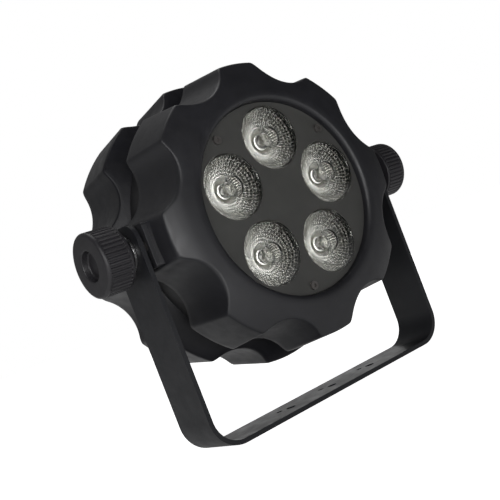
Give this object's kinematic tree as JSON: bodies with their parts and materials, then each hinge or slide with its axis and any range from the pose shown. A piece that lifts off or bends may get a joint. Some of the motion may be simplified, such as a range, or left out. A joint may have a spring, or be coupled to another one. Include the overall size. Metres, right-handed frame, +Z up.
{
  "type": "par can light",
  "caption": "Scalloped stage wash light: tilting round head with ring of clear lenses, flat steel yoke and ribbed clamping knobs.",
  "frame": {"origin": "middle of the yoke's cross-bar on its flat outer (under) face, below the tilt axis", "axes": "+Z up from the cross-bar towards the tilt axis, X along the tilt axis, the lenses face -Y"},
  "size_m": [0.2586, 0.112, 0.2315],
  "materials": {
    "yoke_paint": "satin black powder coat",
    "front_shell_plastic": "satin black moulded",
    "rear_shell_plastic": "satin black moulded",
    "waist_plastic": "matte black",
    "lens_panel_paint": "satin dark grey",
    "clear_optic": "clear",
    "holder_plastic": "matte black",
    "emitter": "yellow phosphor under a clear dome",
    "led_board_aluminium": "white solder mask",
    "heat_sink_aluminium": "cast",
    "bracket_steel": "zinc plated",
    "spacer_brass": "plain",
    "zinc_screw": "zinc plated",
    "black_screw": "black oxide",
    "circuit_board": "green solder mask",
    "display_frame": "matte black",
    "display_pane": "smoked clear",
    "cable_jacket": "matte black",
    "rear_panel_plastic": "fine texture black",
    "dmx_metal": "satin black die casting",
    "latch_steel": "nickel plated",
    "socket_plastic": "black",
    "fuse_glass": "clear with metal caps",
    "eye_steel": "zinc plated",
    "button_plastic": "dark grey",
    "pivot_plate_paint": "satin black",
    "insert_brass": "plain",
    "friction_rubber": "fibre-filled, black",
    "washer_steel": "zinc plated",
    "knob_plastic": "fine-grained black",
    "stud_steel": "zinc plated"
  },
  "bodies": {
    "yoke": {"yoke": "yoke_paint"},
    "head": {"board_bracket": "bracket_steel", "board_screws": "zinc_screw", "board_standoffs": "spacer_brass", "control_board": "circuit_board", "display_module": "display_frame", "display_window": "display_pane", "dmx_in_socket": "dmx_metal", "dmx_out_socket": "dmx_metal", "friction_washer_left": "friction_rubber", "friction_washer_right": "friction_rubber", "front_shell": "front_shell_plastic", "heat_sink": "heat_sink_aluminium", "heat_sink_screws": "zinc_screw", "led_1": "emitter", "led_2": "emitter", "led_3": "emitter", "led_4": "emitter", "led_5": "emitter", "led_board": "led_board_aluminium", "led_cable": "cable_jacket", "lens_1": "clear_optic", "lens_2": "clear_optic", "lens_3": "clear_optic", "lens_4": "clear_optic", "lens_5": "clear_optic", "lens_holder_1": "holder_plastic", "lens_holder_2": "holder_plastic", "lens_holder_3": "holder_plastic", "lens_holder_4": "holder_plastic", "lens_holder_5": "holder_plastic", "lens_panel": "lens_panel_paint", "panel_screws": "black_screw", "pivot_plate_left": "pivot_plate_paint", "pivot_plate_right": "pivot_plate_paint", "pivot_plate_screws": "black_screw", "power_inlet": "socket_plastic", "power_outlet": "socket_plastic", "power_supply_board": "circuit_board", "rear_panel": "rear_panel_plastic", "rear_panel_screws": "black_screw", "rear_shell": "rear_shell_plastic", "safety_eye": "eye_steel", "shell_screws": "zinc_screw", "threaded_insert_left": "insert_brass", "threaded_insert_right": "insert_brass", "waist_band": "waist_plastic"},
    "knob_washer_left": {"knob_washer_left": "washer_steel"},
    "knob_washer_right": {"knob_washer_right": "washer_steel"},
    "knob_left": {"knob_left": "knob_plastic", "knob_stud_left": "stud_steel"},
    "knob_right": {"knob_right": "knob_plastic", "knob_stud_right": "stud_steel"},
    "fuse_drawer": {"fuse_drawer": "socket_plastic", "fuse": "fuse_glass"},
    "dmx_out_latch": {"dmx_out_latch": "latch_steel"},
    "menu_button_1": {"menu_button_1": "button_plastic"},
    "menu_button_2": {"menu_button_2": "button_plastic"},
    "menu_button_3": {"menu_button_3": "button_plastic"},
    "menu_button_4": {"menu_button_4": "button_plastic"}
  },
  "joints": [
    {"name": "head_tilt", "type": "hinge", "parent": "yoke", "child": "head", "pos_m": [0, 0, 0.1307], "axis": [1, 0, 0], "continuous": true},
    {"name": "knob_travel_left", "type": "slide", "parent": "head", "child": "knob_washer_left", "axis": [-1, 0, 0], "range_m": [0, 0.0125]},
    {"name": "knob_turn_left", "type": "hinge", "parent": "knob_washer_left", "child": "knob_left", "pos_m": [-0.11715, 0, 0.1307], "axis": [-1, 0, 0], "range_deg": [0, 3600]},
    {"name": "knob_travel_right", "type": "slide", "parent": "head", "child": "knob_washer_right", "axis": [1, 0, 0], "range_m": [0, 0.0125]},
    {"name": "knob_turn_right", "type": "hinge", "parent": "knob_washer_right", "child": "knob_right", "pos_m": [0.11715, 0, 0.1307], "axis": [1, 0, 0], "range_deg": [0, 3600]},
    {"name": "menu_press_1", "type": "slide", "parent": "head", "child": "menu_button_1", "axis": [0, -1, 0], "range_m": [0, 0.001], "stiffness_N_per_m": 400, "springref_m": -0.0005},
    {"name": "menu_press_2", "type": "slide", "parent": "head", "child": "menu_button_2", "axis": [0, -1, 0], "range_m": [0, 0.001], "stiffness_N_per_m": 400, "springref_m": -0.0005},
    {"name": "menu_press_3", "type": "slide", "parent": "head", "child": "menu_button_3", "axis": [0, -1, 0], "range_m": [0, 0.001], "stiffness_N_per_m": 400, "springref_m": -0.0005},
    {"name": "menu_press_4", "type": "slide", "parent": "head", "child": "menu_button_4", "axis": [0, -1, 0], "range_m": [0, 0.001], "stiffness_N_per_m": 400, "springref_m": -0.0005},
    {"name": "fuse_drawer_slide", "type": "slide", "parent": "head", "child": "fuse_drawer", "axis": [0, 1, 0], "range_m": [0, 0.018]},
    {"name": "dmx_latch_press", "type": "slide", "parent": "head", "child": "dmx_out_latch", "axis": [0, -1, 0], "range_m": [0, 0.0015], "stiffness_N_per_m": 500, "springref_m": -0.0005}
  ],
  "couplings": [
    {"joint": "knob_travel_left", "follows": "knob_turn_left", "m_per_rad": 0.00019894},
    {"joint": "knob_travel_right", "follows": "knob_turn_right", "m_per_rad": 0.00019894}
  ]
}
